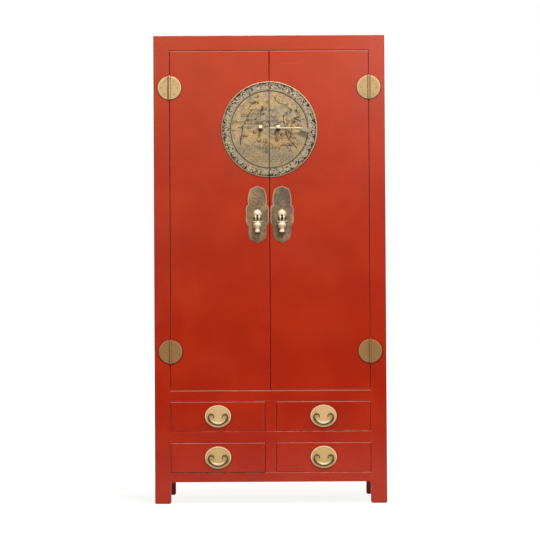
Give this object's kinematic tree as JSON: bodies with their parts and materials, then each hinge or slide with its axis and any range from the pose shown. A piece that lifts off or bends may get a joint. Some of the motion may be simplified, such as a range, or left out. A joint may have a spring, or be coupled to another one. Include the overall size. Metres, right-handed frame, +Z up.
{
  "type": "wedding cabinet",
  "caption": "Tall lacquered cabinet with two flush doors, round brass lock plate, drawers with bails, mitred frame and inner shelves.",
  "frame": {"origin": "middle of the overall box, fittings included, at the level of the floor", "axes": "+Z up, the front with its doors faces -Y, +X is to the viewer's right"},
  "size_m": [0.94, 0.5336, 1.9],
  "materials": {
    "lacquer": "satin red lacquer",
    "inner_wood": "bare planed wood",
    "aged_brass": "engraved and aged",
    "polished_brass": "brushed"
  },
  "bodies": {
    "cabinet": {"back_panels": "inner_wood", "back_rails": "inner_wood", "drawer_runners": "inner_wood", "floor_panel": "inner_wood", "hinge_pins": "polished_brass", "hinge_post_leaves": "polished_brass", "muntins": "lacquer", "post_back_left": "lacquer", "post_back_right": "lacquer", "post_front_left": "lacquer", "post_front_right": "lacquer", "rail_between_drawers": "lacquer", "rail_bottom": "lacquer", "rail_under_doors": "lacquer", "shelf_bearers": "inner_wood", "shelves": "inner_wood", "side_panels_left": "lacquer", "side_panels_right": "lacquer", "side_rails_left": "lacquer", "side_rails_right": "lacquer", "top_panel": "lacquer", "top_rail_back": "lacquer", "top_rail_front": "lacquer", "top_rails_side": "lacquer"},
    "drawer_upper_left": {"drawer_upper_left_front": "lacquer", "drawer_upper_left_box": "inner_wood", "drawer_upper_left_pull_plate": "polished_brass"},
    "bail_upper_left": {"drawer_upper_left_bail": "polished_brass"},
    "drawer_upper_right": {"drawer_upper_right_front": "lacquer", "drawer_upper_right_box": "inner_wood", "drawer_upper_right_pull_plate": "polished_brass"},
    "bail_upper_right": {"drawer_upper_right_bail": "polished_brass"},
    "drawer_lower_left": {"drawer_lower_left_front": "lacquer", "drawer_lower_left_box": "inner_wood", "drawer_lower_left_pull_plate": "polished_brass"},
    "bail_lower_left": {"drawer_lower_left_bail": "polished_brass"},
    "drawer_lower_right": {"drawer_lower_right_front": "lacquer", "drawer_lower_right_box": "inner_wood", "drawer_lower_right_pull_plate": "polished_brass"},
    "bail_lower_right": {"drawer_lower_right_bail": "polished_brass"},
    "door_left": {"door_left_frame": "lacquer", "door_left_panel": "lacquer", "door_left_battens": "inner_wood", "door_left_hinge_leaves": "polished_brass", "door_left_lock_plate": "aged_brass", "door_left_lock_eye": "polished_brass", "door_left_pull_plate": "aged_brass", "door_left_pull_pommel": "polished_brass"},
    "pendant_left": {"door_left_pendant": "polished_brass"},
    "door_right": {"door_right_frame": "lacquer", "door_right_panel": "lacquer", "door_right_battens": "inner_wood", "door_right_hinge_leaves": "polished_brass", "door_right_lock_plate": "aged_brass", "door_right_lock_eye": "polished_brass", "door_right_pull_plate": "aged_brass", "door_right_pull_pommel": "polished_brass"},
    "pendant_right": {"door_right_pendant": "polished_brass"},
    "lock_bar": {"lock_bar": "polished_brass"}
  },
  "joints": [
    {"name": "drawer_upper_left_slide", "type": "slide", "parent": "cabinet", "child": "drawer_upper_left", "axis": [0, -1, 0], "range_m": [0, 0.33]},
    {"name": "bail_upper_left_hinge", "type": "hinge", "parent": "drawer_upper_left", "child": "bail_upper_left", "pos_m": [-0.214, -0.24075, 0.36125], "axis": [-1, 0, 0], "range_deg": [0, 80]},
    {"name": "drawer_upper_right_slide", "type": "slide", "parent": "cabinet", "child": "drawer_upper_right", "axis": [0, -1, 0], "range_m": [0, 0.33]},
    {"name": "bail_upper_right_hinge", "type": "hinge", "parent": "drawer_upper_right", "child": "bail_upper_right", "pos_m": [0.214, -0.24075, 0.36125], "axis": [-1, 0, 0], "range_deg": [0, 80]},
    {"name": "drawer_lower_left_slide", "type": "slide", "parent": "cabinet", "child": "drawer_lower_left", "axis": [0, -1, 0], "range_m": [-0.004, 0.33]},
    {"name": "bail_lower_left_hinge", "type": "hinge", "parent": "drawer_lower_left", "child": "bail_lower_left", "pos_m": [-0.214, -0.24475, 0.19475], "axis": [-1, 0, 0], "range_deg": [0, 80]},
    {"name": "drawer_lower_right_slide", "type": "slide", "parent": "cabinet", "child": "drawer_lower_right", "axis": [0, -1, 0], "range_m": [0, 0.33]},
    {"name": "bail_lower_right_hinge", "type": "hinge", "parent": "drawer_lower_right", "child": "bail_lower_right", "pos_m": [0.214, -0.24075, 0.19475], "axis": [-1, 0, 0], "range_deg": [0, 80]},
    {"name": "door_left_hinge", "type": "hinge", "parent": "cabinet", "child": "door_left", "pos_m": [-0.405, -0.23795, 1.14875], "axis": [0, 0, -1], "range_deg": [0, 165]},
    {"name": "pendant_left_hinge", "type": "hinge", "parent": "door_left", "child": "pendant_left", "pos_m": [-0.05, -0.25025, 1.157], "axis": [-1, 0, 0], "range_deg": [0, 80]},
    {"name": "door_right_hinge", "type": "hinge", "parent": "cabinet", "child": "door_right", "pos_m": [0.405, -0.23795, 1.14875], "axis": [0, 0, 1], "range_deg": [0, 165]},
    {"name": "pendant_right_hinge", "type": "hinge", "parent": "door_right", "child": "pendant_right", "pos_m": [0.05, -0.25025, 1.157], "axis": [-1, 0, 0], "range_deg": [0, 80]},
    {"name": "lock_bar_slide", "type": "slide", "parent": "door_right", "child": "lock_bar", "axis": [1, 0, 0], "range_m": [-0.0766, 0.025]}
  ]
}
